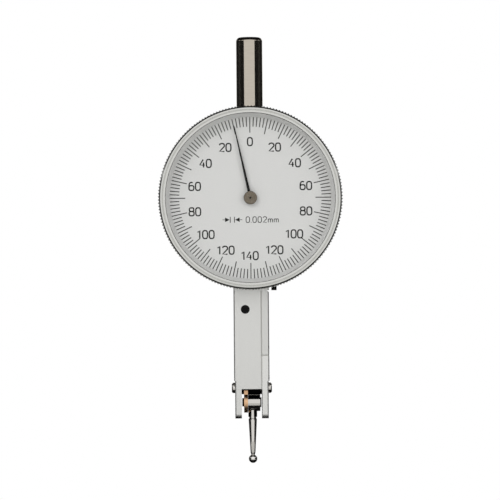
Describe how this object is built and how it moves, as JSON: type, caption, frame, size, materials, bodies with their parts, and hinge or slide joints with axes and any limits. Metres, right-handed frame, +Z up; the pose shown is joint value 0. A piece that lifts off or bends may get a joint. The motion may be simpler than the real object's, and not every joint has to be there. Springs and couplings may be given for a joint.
{
  "type": "dial test indicator",
  "caption": "Lever-type dial test indicator: round dial on a slim chromed bar with a plain clamping stem above and a swivelling ball-tipped stylus in a fork below.",
  "frame": {"origin": "on the stem's axis, at the shoulder where the stem meets the top of the bar", "axes": "+Z up along the stem away from the stylus, dial facing -Y, +X to the reader's right"},
  "size_m": [0.0414, 0.0181, 0.0967],
  "materials": {
    "satin_chrome": "satin",
    "knurled_chrome": "bright turned and knurled",
    "polished_steel": "polished",
    "black_steel": "black oxide",
    "plate_steel": "fine ground",
    "arbor_steel": "polished",
    "lever_bronze": "bright",
    "bush_brass": "turned",
    "wheel_brass": "bright",
    "spring_steel": "polished",
    "dial_silver": "fine matt silver",
    "ring_silver": "fine turned",
    "pointer_black": "matt black",
    "boss_nickel": "turned",
    "crystal_clear": "clear",
    "ball_carbide": "polished"
  },
  "bodies": {
    "frame": {"body_frame": "satin_chrome", "side_cover": "satin_chrome", "fork_cheek": "satin_chrome", "cover_screws": "black_steel", "cheek_screws": "black_steel", "stem": "polished_steel", "case": "satin_chrome", "case_screws": "black_steel", "bezel_friction_screw": "black_steel", "front_bridge": "plate_steel", "bridge_pillars": "bush_brass", "bridge_screws": "arbor_steel", "front_bush": "bush_brass", "rear_cock": "plate_steel", "cock_screw": "arbor_steel", "rear_bush": "bush_brass", "crown_bush_left": "bush_brass", "crown_bush_right": "bush_brass", "stop_screw_front": "black_steel", "stop_screw_rear": "black_steel", "pivot_screw_left": "polished_steel", "pivot_screw_right": "polished_steel", "hairspring": "spring_steel", "hairspring_stud": "bush_brass"},
    "lever": {"lever_arm": "lever_bronze", "fulcrum_arbor": "arbor_steel", "hub_screw": "black_steel", "hub_nut": "black_steel", "clutch_washer": "black_steel"},
    "stylus": {"stylus_hub": "polished_steel", "stylus": "polished_steel", "stylus_ball": "ball_carbide"},
    "crown": {"crown_wheel": "wheel_brass", "crown_arbor": "arbor_steel"},
    "pointer": {"pointer_arbor": "arbor_steel", "pointer": "pointer_black", "pointer_boss": "boss_nickel", "hairspring_collet": "bush_brass"},
    "bezel": {"bezel": "knurled_chrome", "crystal": "crystal_clear", "dial": "dial_silver", "dial_ring": "ring_silver", "dial_retainer": "plate_steel", "bezel_wire": "spring_steel"}
  },
  "joints": [
    {"name": "pointer_turn", "type": "hinge", "parent": "frame", "child": "pointer", "pos_m": [0, -0.01, -0.0156], "axis": [0, 1, 0], "range_deg": [-200, 200], "stiffness_Nm_per_rad": 0.000004, "deforming": ["hairspring"]},
    {"name": "crown_turn", "type": "hinge", "parent": "frame", "child": "crown", "pos_m": [0, -0.0022, -0.0156], "axis": [1, 0, 0], "range_deg": [-26, 26]},
    {"name": "lever_pivot", "type": "hinge", "parent": "frame", "child": "lever", "pos_m": [0, 0, -0.0586], "axis": [1, 0, 0], "range_deg": [-0.56, 0.56]},
    {"name": "stylus_swivel", "type": "hinge", "parent": "lever", "child": "stylus", "pos_m": [0, 0, -0.0619], "axis": [1, 0, 0], "range_deg": [-105, 95]},
    {"name": "bezel_turn", "type": "hinge", "parent": "frame", "child": "bezel", "pos_m": [0, -0.01, -0.0156], "axis": [0, 1, 0], "continuous": true}
  ],
  "couplings": [
    {"joint": "crown_turn", "follows": "pointer_turn", "ratio": 0.12941},
    {"joint": "lever_pivot", "follows": "pointer_turn", "ratio": -0.0027628}
  ]
}
